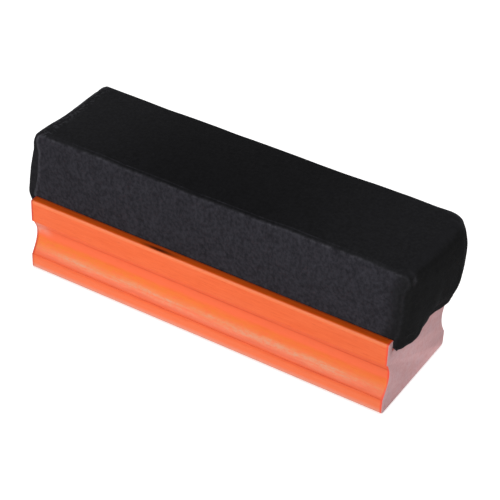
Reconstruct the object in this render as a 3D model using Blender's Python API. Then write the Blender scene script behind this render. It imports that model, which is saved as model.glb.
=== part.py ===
"""A wooden-backed chalkboard eraser, resting on its handle with the wiping pad up.

Frame: +Z up, X along the eraser, Y across it, origin at the centre of the handle's flat back.
A moulded wood handle carries a channel between two lips. A foam block on a thin board, wrapped in
one piece of pile cloth, stands in the channel. The cloth's edges turn under the board, where
staples hold them, and two beads of glue hold the board to the channel's floor.
"""

import math

import bmesh
import bpy
from mathutils import Vector

MM = 0.001
GAP = 0.3 * MM  # air between pieces that rest on each other

# Handle: one length of moulding, sawn square at both ends
HANDLE_LENGTH = 145.0 * MM
HANDLE_HEIGHT = 29.4 * MM
FOOT_HALF_WIDTH = 22.6 * MM
FOOT_HEIGHT = 6.2 * MM
FOOT_STEP = 0.35 * MM
FOOT_RADIUS = 1.2 * MM
FOOT_ARRIS = 0.3 * MM
LIP_HALF_WIDTH = 21.9 * MM
LIP_BOTTOM = 20.2 * MM
LIP_UNDER_ARRIS = 0.5 * MM
QUIRK_DEPTH = 1.1 * MM  # the small step from the lip's face into the cove
LIP_THICKNESS = 3.2 * MM
LIP_ARRIS = 0.8 * MM
NECK_HALF_WIDTH = 19.1 * MM
NECK_HEIGHT = 14.7 * MM  # where the cove is deepest
CHANNEL_DEPTH = 4.4 * MM

# Cloth cover, measured over its outer face
CLOTH = 1.0 * MM
PAD_TOP = 57.6 * MM
PAD_HALF_WIDTH = 20.4 * MM
TOP_EDGE_RADIUS = 2.0 * MM
CORNER_RADIUS = 4.5 * MM
RIGHT_OVERHANG = 5.4 * MM  # how far each end bulges past the sawn end of the handle
LEFT_OVERHANG = 3.8 * MM
RIGHT_LEAN = 1.4 * MM  # how far the top of each end stands inside its bulge
LEFT_LEAN = 4.6 * MM
ROLL_BOTTOM = 22.5 * MM  # the fold of cloth that hangs over each end of the channel
HEM_WIDTH = 10.0 * MM
END_LAYERS = 2.2 * MM  # the end flaps are folded over one another

# Board and foam inside the cover
BOARD_THICKNESS = 2.5 * MM
STAPLE_SPACE = 1.1 * MM  # from the channel's floor to the hem
FOAM_EDGE_RADIUS = 2.0 * MM

# Staples
WIRE_THICKNESS = 0.45 * MM
WIRE_WIDTH = 0.7 * MM
CROWN = 10.0 * MM
LEG = 3.6 * MM
BEND_RADIUS = 0.35 * MM
LEG_HOLE_CLEARANCE = 0.25 * MM
STAPLES_ALONG = 6
STAPLES_ACROSS = 2

# Glue
BEAD_WIDTH = 4.5 * MM
BEAD_OFFSET = 4.0 * MM

# Derived places
HANDLE_END = HANDLE_LENGTH / 2
CHANNEL_FLOOR = HANDLE_HEIGHT - CHANNEL_DEPTH
CHANNEL_HALF_WIDTH = LIP_HALF_WIDTH - LIP_THICKNESS
PAD_FOOT_HALF_WIDTH = CHANNEL_HALF_WIDTH - GAP
HEM_BOTTOM = CHANNEL_FLOOR + STAPLE_SPACE
HEM_TOP = HEM_BOTTOM + CLOTH
BOARD_BOTTOM = HEM_TOP + GAP
BOARD_TOP = BOARD_BOTTOM + BOARD_THICKNESS
FOAM_BOTTOM = BOARD_TOP + GAP
FOAM_TOP = PAD_TOP - CLOTH - GAP
RIGHT_END = HANDLE_END + RIGHT_OVERHANG
LEFT_END = -HANDLE_END - LEFT_OVERHANG
FOAM_RIGHT = RIGHT_END - END_LAYERS - GAP
FOAM_LEFT = LEFT_END + END_LAYERS + GAP
CORNER_STEPS = 8


def clear_scene():
    for obj in list(bpy.data.objects):
        bpy.data.objects.remove(obj)


def material(name, colour, roughness, metallic=0.0):
    made = bpy.data.materials.new(name)
    made.use_nodes = True
    shader = made.node_tree.nodes["Principled BSDF"]
    shader.inputs["Base Color"].default_value = (*colour, 1.0)
    shader.inputs["Roughness"].default_value = roughness
    shader.inputs["Metallic"].default_value = metallic
    return made


def add_object(name, mesh, surface, parent, smooth_angle=40):
    """Links a mesh as a named object, shaded smooth except across sharp edges."""
    if not mesh.materials:
        mesh.materials.append(surface)
    mesh.shade_smooth()
    mesh.set_sharp_from_angle(angle=math.radians(smooth_angle))
    obj = bpy.data.objects.new(name, mesh)
    bpy.context.scene.collection.objects.link(obj)
    obj.parent = parent
    return obj


def arc(centre, radii, start, end, steps):
    """Points on an ellipse's arc in a plane, from one angle to another in degrees, both included."""
    points = []
    for i in range(steps + 1):
        angle = math.radians(start + (end - start) * i / steps)
        points.append((centre[0] + radii[0] * math.cos(angle), centre[1] + radii[1] * math.sin(angle)))
    return points


def bezier(a, b, c, d, steps):
    """Points on a cubic curve after its start, up to and including its end."""
    points = []
    for i in range(1, steps + 1):
        t = i / steps
        weights = ((1 - t) ** 3, 3 * t * (1 - t) ** 2, 3 * t * t * (1 - t), t ** 3)
        points.append(tuple(sum(w * p[k] for w, p in zip(weights, (a, b, c, d))) for k in range(2)))
    return points


def extrude_outline(name, outline, depth):
    """A prism on a closed outline of 3-D points, pushed by the vector depth. The outline runs
    anticlockwise seen against that vector."""
    shape = bmesh.new()
    base = [shape.verts.new(point) for point in outline]
    lid = [shape.verts.new(Vector(point) + depth) for point in outline]
    shape.faces.new(reversed(base))
    shape.faces.new(lid)
    for i in range(len(base)):
        j = (i + 1) % len(base)
        shape.faces.new((base[i], base[j], lid[j], lid[i]))
    mesh = bpy.data.meshes.new(name)
    bmesh.ops.recalc_face_normals(shape, faces=shape.faces)
    shape.to_mesh(mesh)
    shape.free()
    return mesh


def loft(name, rings):
    """A closed skin through rings of the same number of points, with a flat cap on each end."""
    shape = bmesh.new()
    rows = [[shape.verts.new(point) for point in ring] for ring in rings]
    for row, below in zip(rows, rows[1:]):
        for i in range(len(row)):
            j = (i + 1) % len(row)
            shape.faces.new((row[i], row[j], below[j], below[i]))
    shape.faces.new(rows[0])
    shape.faces.new(reversed(rows[-1]))
    bmesh.ops.recalc_face_normals(shape, faces=shape.faces)
    mesh = bpy.data.meshes.new(name)
    shape.to_mesh(mesh)
    shape.free()
    return mesh


def end_share(angle):
    """0 on the long sides and 1 on the ends. In a corner it stays 0 until the ring has
    passed the handle's end, so that the hanging fold clears the lips."""
    start = 0.62
    t = min(1.0, max(0.0, (angle - start) / (1 - start)))
    return t * t * (3 - 2 * t)


def pad_ring(left, right, half_width, radius, side_z, left_z, right_z):
    """A rounded rectangle seen from above, whose height changes from the long sides to each end."""
    points = []
    for sign_x, sign_y, first in ((1, -1, False), (1, 1, True), (-1, 1, False), (-1, -1, True)):
        end = right if sign_x > 0 else left
        end_z = right_z if sign_x > 0 else left_z
        for i in range(CORNER_STEPS + 1):
            turned = i / CORNER_STEPS
            toward_end = 1 - turned if first else turned
            angle = toward_end * math.pi / 2
            x = end - sign_x * radius * (1 - math.sin(angle))
            y = sign_y * (half_width - radius * (1 - math.cos(angle)))
            points.append((x, y, side_z + (end_z - side_z) * end_share(toward_end)))
    return points


def handle_outline():
    """Half of the moulding's section, from the middle of its back round to the middle of its channel."""
    bottom = (FOOT_HALF_WIDTH - FOOT_RADIUS, FOOT_RADIUS)
    shoulder = (FOOT_HALF_WIDTH - FOOT_ARRIS, FOOT_HEIGHT - FOOT_ARRIS)
    step = (FOOT_HALF_WIDTH - FOOT_STEP, FOOT_HEIGHT + 0.2 * MM)
    neck = (NECK_HALF_WIDTH, NECK_HEIGHT)
    quirk = (LIP_HALF_WIDTH - QUIRK_DEPTH, LIP_BOTTOM - 0.25 * MM)
    under = (LIP_HALF_WIDTH - LIP_UNDER_ARRIS, LIP_BOTTOM + LIP_UNDER_ARRIS)
    top = (LIP_HALF_WIDTH - LIP_ARRIS, HANDLE_HEIGHT - LIP_ARRIS)
    half = arc(bottom, (FOOT_RADIUS, FOOT_RADIUS), -90, 0, 6)
    half += arc(shoulder, (FOOT_ARRIS, FOOT_ARRIS), 0, 90, 3)
    half.append(step)
    half += bezier(step, (step[0] - 1.5 * MM, step[1] + 2.6 * MM), (neck[0], neck[1] - 3.6 * MM), neck, 8)
    half += bezier(neck, (neck[0], neck[1] + 2.6 * MM), (quirk[0], quirk[1] - 1.3 * MM), quirk, 8)
    half += arc(under, (LIP_UNDER_ARRIS, LIP_UNDER_ARRIS), -70, 0, 3)
    half += arc(top, (LIP_ARRIS, LIP_ARRIS), 0, 90, 4)
    half.append((CHANNEL_HALF_WIDTH, HANDLE_HEIGHT))
    half.append((CHANNEL_HALF_WIDTH, CHANNEL_FLOOR))
    return half


def add_handle(surface, parent):
    half = handle_outline()
    section = half + [(-y, z) for y, z in reversed(half)]
    outline = [(-HANDLE_END, y, z) for y, z in section]
    mesh = extrude_outline("wood_handle", outline, Vector((HANDLE_LENGTH, 0, 0)))
    return add_object("wood_handle", mesh, surface, parent)


def cover_side_profile():
    """(half width, height) down the outer face, round under the board and up the inner face."""
    foot = PAD_FOOT_HALF_WIDTH
    edge = (PAD_HALF_WIDTH - TOP_EDGE_RADIUS, PAD_TOP - TOP_EDGE_RADIUS)
    path = arc(edge, (TOP_EDGE_RADIUS, TOP_EDGE_RADIUS), 90, 0, 5)
    path += bezier(
        path[-1],
        (PAD_HALF_WIDTH + 0.2 * MM, PAD_TOP * 0.8),
        (foot + 0.4 * MM, HANDLE_HEIGHT + 6 * MM),
        (foot, HANDLE_HEIGHT + GAP),
        6,
    )
    turn = (foot - CLOTH, HEM_BOTTOM + CLOTH)
    path += arc(turn, (CLOTH, CLOTH), 0, -90, 5)
    path.append((foot - CLOTH - 0.4 * MM, HEM_BOTTOM))
    path.append((foot - HEM_WIDTH, HEM_BOTTOM))
    path.append((foot - HEM_WIDTH, HEM_TOP))
    path.append((foot - CLOTH, HEM_TOP))
    path.append((foot - CLOTH, FOAM_BOTTOM))
    inner_edge = TOP_EDGE_RADIUS - CLOTH
    path += arc(edge, (inner_edge, inner_edge), 0, 90, 4)
    return path


def cover_end_profile(end, lean, foam_end, outward):
    """(x, height) for one end, with as many points as the side profile. outward is +1 or -1."""
    handle_end = outward * HANDLE_END
    top_end = end - outward * lean
    top_radii = (4.5 * MM, 5.0 * MM)
    edge = (top_end - outward * top_radii[0], PAD_TOP - top_radii[1])
    path = arc(edge, (outward * top_radii[0], top_radii[1]), 90, 0, 5)
    roll_inside = handle_end + outward * 1.5 * GAP
    roll_outside = handle_end + outward * 2.1 * MM
    roll_turn = ROLL_BOTTOM + 1.4 * MM
    path += bezier(
        path[-1],
        (end + outward * 0.4 * MM, PAD_TOP - 18 * MM),
        (end + outward * 0.9 * MM, HANDLE_HEIGHT + 1.5 * MM),
        (roll_outside + outward * 0.7 * MM, roll_turn + 2.6 * MM),
        6,
    )
    middle = ((roll_inside + roll_outside) / 2, roll_turn)
    half_roll = (roll_outside - roll_inside) / 2
    path += arc(middle, (half_roll, roll_turn - ROLL_BOTTOM), 0, -180, 5)
    path.append((roll_inside, HEM_BOTTOM))
    path.append((handle_end - outward * HEM_WIDTH, HEM_BOTTOM))
    path.append((handle_end - outward * HEM_WIDTH, HEM_TOP))
    inner = foam_end + outward * GAP
    path.append((inner - outward * 1.2 * MM, HEM_TOP))
    path.append((inner, FOAM_BOTTOM))
    inner_centre = (inner - outward * (lean + FOAM_EDGE_RADIUS), FOAM_TOP + GAP - FOAM_EDGE_RADIUS)
    path += arc(inner_centre, (outward * FOAM_EDGE_RADIUS, FOAM_EDGE_RADIUS), 0, 90, 4)
    return path


def add_cover(surface, parent):
    """The pile cloth: walls, top and turned-under hem in one closed solid, open under the board."""
    side = cover_side_profile()
    right = cover_end_profile(RIGHT_END, RIGHT_LEAN, FOAM_RIGHT, 1)
    left = cover_end_profile(LEFT_END, LEFT_LEAN, FOAM_LEFT, -1)
    rings = []
    for (half_width, side_z), (right_x, right_z), (left_x, left_z) in zip(side, right, left):
        rings.append(pad_ring(left_x, right_x, half_width, CORNER_RADIUS, side_z, left_z, right_z))
    return add_object("cloth_cover", loft("cloth_cover", rings), surface, parent)


def add_foam(surface, parent):
    """A block that tapers a little toward the board, with rounded upper edges."""
    foot = PAD_FOOT_HALF_WIDTH - CLOTH - GAP
    top = PAD_HALF_WIDTH - CLOTH - GAP
    left_top = FOAM_LEFT + LEFT_LEAN
    right_top = FOAM_RIGHT - RIGHT_LEAN
    radius = CORNER_RADIUS - GAP

    def level(left, right, half_width, z):
        return pad_ring(left, right, half_width, radius, z, z, z)

    rings = [level(FOAM_LEFT, FOAM_RIGHT, foot, FOAM_BOTTOM)]
    edge = (FOAM_EDGE_RADIUS, FOAM_TOP - FOAM_EDGE_RADIUS)
    for inset, z in arc(edge, (-FOAM_EDGE_RADIUS, FOAM_EDGE_RADIUS), 0, 90, 4):
        rings.append(level(left_top + inset, right_top - inset, top - inset, z))
    return add_object("foam_core", loft("foam_core", rings), surface, parent)


def add_board(surface, parent):
    half_width = PAD_FOOT_HALF_WIDTH - CLOTH - GAP
    radius = CORNER_RADIUS - GAP
    rings = []
    for z in (BOARD_BOTTOM, BOARD_TOP):
        rings.append(pad_ring(-HANDLE_END + GAP, HANDLE_END - GAP, half_width, radius, z, z, z))
    return add_object("backing_board", loft("backing_board", rings), surface, parent)


def add_glue(surface, parent):
    """Two flattened beads along the channel, in the opening that the hem leaves."""
    reach = HANDLE_END - HEM_WIDTH - 3 * MM
    low, high = CHANNEL_FLOOR + GAP, BOARD_BOTTOM - GAP
    half = (high - low) / 2
    for name, side in (("glue_bead_front", -1), ("glue_bead_back", 1)):
        rings = []
        for inset, z in arc((0, low + half), (half, half), -90, 90, 6):
            ring = pad_ring(-reach - inset, reach + inset, BEAD_WIDTH / 2 - half + inset, 1.2 * MM, z, z, z)
            rings.append([(x, y + side * BEAD_OFFSET, z) for x, y, z in ring])
        add_object(name, loft(name, rings), surface, parent)


def staple_mesh():
    """A flat-wire staple, crown down, with chisel-cut legs. Its origin is the crown's middle."""
    half = CROWN / 2
    corner = (half - BEND_RADIUS - WIRE_THICKNESS, BEND_RADIUS + WIRE_THICKNESS)
    outer = BEND_RADIUS + WIRE_THICKNESS
    right = arc(corner, (outer, outer), -90, 0, 4)
    right.append((half, LEG - WIRE_WIDTH))
    right.append((half - WIRE_THICKNESS, LEG))
    right += arc(corner, (BEND_RADIUS, BEND_RADIUS), 0, -90, 3)
    outside, inside = right[:6], right[6:]
    profile = outside + inside
    profile += [(-x, z) for x, z in reversed(inside)]
    profile += [(-x, z) for x, z in reversed(outside)]
    outline = [(x, -WIRE_WIDTH / 2, z) for x, z in profile]
    return extrude_outline("staple", outline, Vector((0, WIRE_WIDTH, 0)))


def staple_places():
    """(name, x, y, turn) of every staple: rows along both long hems and a pair on each end hem."""
    row_y = PAD_FOOT_HALF_WIDTH - HEM_WIDTH / 2
    span = HANDLE_LENGTH - 4 * HEM_WIDTH
    places = []
    for side, sign in (("front", -1), ("back", 1)):
        for i in range(STAPLES_ALONG):
            x = -span / 2 + span * i / (STAPLES_ALONG - 1)
            places.append((f"staple_{side}_{i + 1}", x, sign * row_y, 0))
    for side, sign in (("left", -1), ("right", 1)):
        for i in range(STAPLES_ACROSS):
            y = CROWN * 0.68 * (2 * i - 1)
            places.append((f"staple_{side}_{i + 1}", sign * (HANDLE_END - HEM_WIDTH / 2), y, math.pi / 2))
    return places


def add_staples(surface, parent):
    mesh = staple_mesh()
    for name, x, y, turn in staple_places():
        staple = add_object(name, mesh, surface, parent)
        staple.location = (x, y, HEM_BOTTOM - GAP - WIRE_THICKNESS)
        staple.rotation_euler = (0, 0, turn)


def add_leg_holes(parent):
    """The cutter for the holes that the staples' legs make in the hem and the board."""
    across = WIRE_THICKNESS / 2 + LEG_HOLE_CLEARANCE
    along = WIRE_WIDTH / 2 + LEG_HOLE_CLEARANCE
    low = HEM_BOTTOM - GAP
    high = HEM_BOTTOM - WIRE_THICKNESS + LEG
    shape = bmesh.new()
    for _, x, y, turn in staple_places():
        for leg in (-1, 1):
            reach = leg * (CROWN - WIRE_THICKNESS) / 2
            centre = Vector((x + reach * math.cos(turn), y + reach * math.sin(turn), (low + high) / 2))
            size = (across, along) if turn == 0 else (along, across)
            cube = bmesh.ops.create_cube(shape, size=1)["verts"]
            bmesh.ops.scale(shape, vec=(2 * size[0], 2 * size[1], high - low), verts=cube)
            bmesh.ops.translate(shape, vec=centre, verts=cube)
    mesh = bpy.data.meshes.new("staple_leg_holes")
    shape.to_mesh(mesh)
    shape.free()
    cutter = bpy.data.objects.new("staple_leg_holes", mesh)
    bpy.context.scene.collection.objects.link(cutter)
    cutter.parent = parent
    cutter.hide_render = True
    cutter.display_type = "WIRE"
    return cutter


def cut(obj, cutter):
    hole = obj.modifiers.new("staple_holes", "BOOLEAN")
    hole.operation = "DIFFERENCE"
    hole.solver = "EXACT"
    hole.object = cutter


def build():
    clear_scene()
    eraser = bpy.data.objects.new("eraser", None)
    pad = bpy.data.objects.new("pad", None)
    for empty in (eraser, pad):
        bpy.context.scene.collection.objects.link(empty)
    pad.parent = eraser

    paint = material("orange_stain", (0.88, 0.17, 0.045), 0.42)
    cloth = material("black_pile_cloth", (0.012, 0.011, 0.014), 0.95)
    foam = material("foam", (0.62, 0.60, 0.52), 0.9)
    board = material("hardboard", (0.33, 0.19, 0.10), 0.8)
    steel = material("staple_wire", (0.62, 0.62, 0.64), 0.35, 1.0)
    glue = material("glue", (0.82, 0.76, 0.60), 0.45)

    add_handle(paint, eraser)
    cover = add_cover(cloth, pad)
    add_foam(foam, pad)
    backing = add_board(board, pad)
    add_glue(glue, eraser)
    add_staples(steel, pad)
    holes = add_leg_holes(pad)
    cut(cover, holes)
    cut(backing, holes)


build()
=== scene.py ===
"""The looks of a wooden-backed chalkboard eraser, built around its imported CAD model.

The stained handle and the pile cloth are modelled again here, finer than the CAD solids they stand for.
The board, foam, glue and staples inside the pad stay as packed, with new materials.
"""

import math

import bmesh
import bpy
import numpy as np
from mathutils import Matrix, Vector, noise
from mathutils.bvhtree import BVHTree
from mathutils.interpolate import poly_3d_calc


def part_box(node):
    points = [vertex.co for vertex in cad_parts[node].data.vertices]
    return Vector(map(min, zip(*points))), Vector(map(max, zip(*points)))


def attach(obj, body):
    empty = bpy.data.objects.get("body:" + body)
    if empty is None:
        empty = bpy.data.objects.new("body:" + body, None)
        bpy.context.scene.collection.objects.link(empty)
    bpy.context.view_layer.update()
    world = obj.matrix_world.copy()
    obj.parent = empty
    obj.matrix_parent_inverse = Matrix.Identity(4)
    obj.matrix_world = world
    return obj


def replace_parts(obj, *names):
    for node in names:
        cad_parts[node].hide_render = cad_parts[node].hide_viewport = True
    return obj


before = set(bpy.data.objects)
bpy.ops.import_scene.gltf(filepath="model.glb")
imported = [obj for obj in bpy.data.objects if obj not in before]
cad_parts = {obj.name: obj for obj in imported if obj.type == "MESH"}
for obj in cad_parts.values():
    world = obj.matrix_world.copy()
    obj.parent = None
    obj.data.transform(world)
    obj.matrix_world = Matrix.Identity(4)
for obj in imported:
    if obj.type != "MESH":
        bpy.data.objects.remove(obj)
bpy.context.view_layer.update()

MM = 0.001

# Places read from the frame
_, HANDLE_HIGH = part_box("wood_handle")
_, PAD_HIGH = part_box("cloth_cover")
FOAM_LOW, FOAM_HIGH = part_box("foam_core")
BOARD_LOW, BOARD_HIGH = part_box("backing_board")
LIP_TOP = HANDLE_HIGH.z
SAWN_END = HANDLE_HIGH.x
TOP = PAD_HIGH.z
GAP = 0.3 * MM  # air between pieces that rest on each other
CLOTH = 1.0 * MM


# ---- node helpers

class Nodes:
    """A short way to write a material's node tree."""

    def __init__(self, name):
        self.material = bpy.data.materials.new(name)
        self.material.use_nodes = True
        self.tree = self.material.node_tree
        self.shader = self.tree.nodes["Principled BSDF"]

    def put(self, socket, value):
        if isinstance(value, bpy.types.NodeSocket):
            self.tree.links.new(value, socket)
        elif isinstance(value, (tuple, list)) and len(value) == 3 and socket.type == "RGBA":
            socket.default_value = (*value, 1.0)
        else:
            socket.default_value = value

    def add(self, kind, inputs=None, **settings):
        node = self.tree.nodes.new(kind)
        for key, value in settings.items():
            setattr(node, key, value)
        for key, value in (inputs or {}).items():
            self.put(node.inputs[key], value)
        return node

    def set(self, **values):
        for key, value in values.items():
            self.put(self.shader.inputs[key.replace("_", " ")], value)

    def math(self, operation, a, b=0.0):
        return self.add("ShaderNodeMath", {0: a, 1: b}, operation=operation).outputs[0]

    def times(self, first, *others):
        for other in others:
            first = self.math("MULTIPLY", first, other)
        return first

    def plus(self, a, b):
        return self.math("ADD", a, b)

    def spread(self, value, width):
        """A 0 to 1 value turned into one from minus to plus half of width."""
        return self.times(self.math("SUBTRACT", value, 0.5), width)

    def ramp(self, value, low, high, out_low=0.0, out_high=1.0, smooth=True):
        inputs = {"Value": value, "From Min": low, "From Max": high, "To Min": out_low, "To Max": out_high}
        kind = "SMOOTHSTEP" if smooth else "LINEAR"
        return self.add("ShaderNodeMapRange", inputs, interpolation_type=kind).outputs["Result"]

    def mix(self, share, a, b, blend="MIX"):
        node = self.add("ShaderNodeMix", {0: share, 6: a, 7: b}, data_type="RGBA", blend_type=blend)
        return node.outputs[2]

    def shade(self, colour, strength):
        """The colour made darker or brighter by a factor."""
        return self.mix(1.0, colour, self.grey(strength), "MULTIPLY")

    def place(self):
        return self.add("ShaderNodeTexCoord").outputs["Object"]

    def facing(self):
        return self.add("ShaderNodeNewGeometry").outputs["Normal"]

    def kept(self, name):
        """A value stored on the mesh's points."""
        return self.add("ShaderNodeAttribute", attribute_name=name).outputs["Fac"]

    def hemmed_in(self, reach, **settings):
        """1 in the open, less where other surfaces stand within reach."""
        return self.add("ShaderNodeAmbientOcclusion", {"Distance": reach}, **settings).outputs["AO"]

    def cells(self, vector, scale):
        return self.add("ShaderNodeTexVoronoi", {"Vector": vector, "Scale": scale})

    def scaled(self, vector, scale, turn=(0, 0, 0)):
        inputs = {"Vector": vector, "Scale": scale, "Rotation": turn}
        return self.add("ShaderNodeMapping", inputs).outputs[0]

    def noise(self, vector, scale, detail=2.0, roughness=0.5, distortion=0.0):
        inputs = {"Vector": vector, "Scale": scale, "Detail": detail, "Roughness": roughness}
        inputs["Distortion"] = distortion
        return self.add("ShaderNodeTexNoise", inputs).outputs["Fac"]

    def axes(self, vector):
        split = self.add("ShaderNodeSeparateXYZ", {0: vector})
        return split.outputs[0], split.outputs[1], split.outputs[2]

    def grey(self, value):
        return self.add("ShaderNodeCombineColor", {0: value, 1: value, 2: value}).outputs[0]

    def band(self, value, low, high, soft):
        """1 between low and high, fading to 0 over `soft` on both sides."""
        rise = self.ramp(value, low - soft / 2, low + soft / 2)
        return self.times(rise, self.ramp(value, high - soft / 2, high + soft / 2, 1.0, 0.0))

    def bell(self, value, centre, width):
        far = self.math("DIVIDE", self.math("SUBTRACT", value, centre), width)
        return self.math("POWER", math.e, self.times(far, far, -1.0))

    def bump(self, height, distance, strength):
        inputs = {"Height": height, "Distance": distance, "Strength": strength}
        return self.add("ShaderNodeBump", inputs).outputs[0]


# ---- mesh helpers

def add_object(name, data):
    thing = bpy.data.objects.new(name, data)
    bpy.context.scene.collection.objects.link(thing)
    return thing


def new_piece(name, mesh, material):
    piece = add_object(name, mesh)
    mesh.materials.append(material)
    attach(piece, "root")
    return piece


def grid_mesh(name, points):
    """A skin over points[row, column]. Columns close into a ring, and the first and last rows are capped."""
    rows, columns, _ = points.shape
    mesh = bpy.data.meshes.new(name)
    index = np.arange(rows * columns).reshape(rows, columns)
    right = np.roll(index, -1, axis=1)
    quads = np.stack((index[:-1], right[:-1], right[1:], index[1:]), axis=-1).reshape(-1, 4)
    faces = quads.tolist() + [index[0, ::-1].tolist(), index[-1].tolist()]
    mesh.from_pydata(points.reshape(-1, 3).tolist(), [], faces)
    mesh.update()
    return mesh


def face_outward(mesh):
    shape = bmesh.new()
    shape.from_mesh(mesh)
    bmesh.ops.recalc_face_normals(shape, faces=shape.faces)
    shape.to_mesh(mesh)
    shape.free()


def smooth_step(t):
    t = np.clip(t, 0.0, 1.0)
    return t * t * (3 - 2 * t)


def bell(t):
    return np.exp(-t * t)


def lerp(a, b, t):
    return a + (b - a) * t


def hermite(a, b, slope_a, slope_b, t):
    """The smooth curve from a to b that leaves and arrives with the given slopes."""
    return ((2 * t ** 3 - 3 * t ** 2 + 1) * a + (t ** 3 - 2 * t ** 2 + t) * slope_a
            + (-2 * t ** 3 + 3 * t ** 2) * b + (t ** 3 - t ** 2) * slope_b)


# ---- stage

CAMERA_LENS = 135.0
CAMERA_AZIMUTH = math.radians(30.39)
CAMERA_ELEVATION = math.radians(36.57)
CAMERA_ROLL = math.radians(2.39)
CAMERA_DISTANCE = 670.3 * MM
CAMERA_SHIFT = (5.95 * MM, 19.46 * MM)  # sideways and upward from the middle of the handle's back
WORLD_LIGHT = 0.2
FLOOR_SIZE = 6.0
FLOOR_GLOW = 0.92
CONTACT_SHADOW = 1.2 * MM
# The soft boxes: name, azimuth and elevation in degrees, width and height in metres, watts
SOFT_BOXES = (
    ("left_box", -24, 21, (0.9, 0.5), 8.6),
    ("right_box", 44, 9, (1.2, 0.5), 19.0),
    ("back_box", 205, 16, (1.4, 0.6), 11.0))
BOX_DISTANCE = 1.6


def add_camera():
    camera = add_object("camera", bpy.data.cameras.new("camera"))
    flat = math.cos(CAMERA_ELEVATION)
    sine, cosine = math.sin(CAMERA_AZIMUTH), math.cos(CAMERA_AZIMUTH)
    back = Vector((sine * flat, -cosine * flat, math.sin(CAMERA_ELEVATION)))
    level = Vector((cosine, sine, 0))
    upright = back.cross(level)
    right = math.cos(CAMERA_ROLL) * level + math.sin(CAMERA_ROLL) * upright
    up = math.cos(CAMERA_ROLL) * upright - math.sin(CAMERA_ROLL) * level
    place = right * CAMERA_SHIFT[0] + up * CAMERA_SHIFT[1] + back * CAMERA_DISTANCE
    turn = Matrix((right, up, back)).transposed().to_4x4()
    camera.matrix_world = Matrix.Translation(place) @ turn
    camera.data.lens = CAMERA_LENS
    camera.data.sensor_width = 36
    camera.data.clip_start = 0.01
    camera.data.clip_end = 100
    bpy.context.scene.camera = camera


def add_light(name, azimuth, elevation, size, power):
    """A soft box that faces the eraser. Azimuth 0 is in front of the long side, 90 at the right end."""
    light = bpy.data.lights.new(name, "AREA")
    light.shape = "RECTANGLE"
    light.size, light.size_y = size
    light.energy = power
    lamp = add_object(name, light)
    a, e = math.radians(azimuth), math.radians(elevation)
    toward = Vector((math.sin(a) * math.cos(e), -math.cos(a) * math.cos(e), math.sin(e)))
    lamp.location = toward * BOX_DISTANCE + Vector((0, 0, PAD_HIGH.z / 2))
    lamp.rotation_mode = "QUATERNION"
    lamp.rotation_quaternion = toward.to_track_quat("Z", "Y")


def add_stage():
    """A pale floor that looks near white, with a thin shadow round the handle, and the soft boxes."""
    bpy.ops.mesh.primitive_plane_add(size=FLOOR_SIZE, location=(0, 0, 0))
    floor = bpy.context.object
    floor.name = "floor"
    paper = Nodes("pale_floor")
    camera_ray = paper.add("ShaderNodeLightPath").outputs["Is Camera Ray"]
    beside = paper.hemmed_in(CONTACT_SHADOW, samples=8)
    glow = paper.times(camera_ray, paper.ramp(beside, 0.45, 0.95, 0.6 * FLOOR_GLOW, FLOOR_GLOW))
    paper.set(Base_Color=(0.7, 0.7, 0.7), Roughness=0.9, Emission_Color=(1, 1, 1))
    paper.set(Emission_Strength=glow, Specular_IOR_Level=0.1)
    floor.data.materials.append(paper.material)

    world = bpy.data.worlds.new("studio")
    bpy.context.scene.world = world
    world.use_nodes = True
    tree = world.node_tree
    background = tree.nodes["Background"]
    background.inputs["Color"].default_value = (1.0, 1.0, 1.0, 1.0)
    path = tree.nodes.new("ShaderNodeLightPath")
    strength = tree.nodes.new("ShaderNodeMapRange")
    strength.inputs["To Min"].default_value = WORLD_LIGHT
    strength.inputs["To Max"].default_value = 1.0
    tree.links.new(path.outputs["Is Camera Ray"], strength.inputs["Value"])
    tree.links.new(strength.outputs["Result"], background.inputs["Strength"])

    for box in SOFT_BOXES:
        add_light(*box)
    bpy.context.scene.view_settings.view_transform = "Standard"
    bpy.context.scene.view_settings.look = "None"


# ---- handle

HANDLE_END_ARRIS = 0.25 * MM
FOOT_TOP = LIP_TOP - 23.2 * MM  # the corner between the cove and the foot
LIP_BOTTOM = LIP_TOP - 12.0 * MM  # the corner between the lip and the cove
STREAK = FOOT_TOP + 2.6 * MM  # the middle of the pale streak on the cove's slope, partly sanded and partly a painted highlight
DARK_MARK_X, DARK_MARK_Y = -18.5 * MM, -20.7 * MM  # a dark mark on top of the front lip
CHANNEL_SIDE = BOARD_HIGH.y + GAP + CLOTH + GAP
HANDLE_STATION = 1.2 * MM
OUTLINE_STEP = 0.55 * MM
UNEVEN = 0.05 * MM  # how far the sanded surface wanders
SHARP = math.radians(50)  # corners that turn more than this stay sharp


def sawn_outline():
    """The moulding's section as (y, z) points in order, read from the CAD handle's right end."""
    shape = bmesh.new()
    shape.from_mesh(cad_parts["wood_handle"].data)
    bmesh.ops.remove_doubles(shape, verts=shape.verts, dist=0.001 * MM)
    end = HANDLE_HIGH.x - 0.01 * MM
    cap = [face for face in shape.faces if all(v.co.x > end for v in face.verts)]
    rim = [e for e in shape.edges if sum(face in cap for face in e.link_faces) == 1]
    first = rim[0]
    loop = [first.verts[0], first.verts[1]]
    rim = set(rim) - {first}
    while rim:
        step = next(e for e in rim if loop[-1] in e.verts)
        rim.discard(step)
        loop.append(step.other_vert(loop[-1]))
    outline = np.array([(v.co.y, v.co.z) for v in loop[:-1]])
    shape.free()
    return outline


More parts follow.
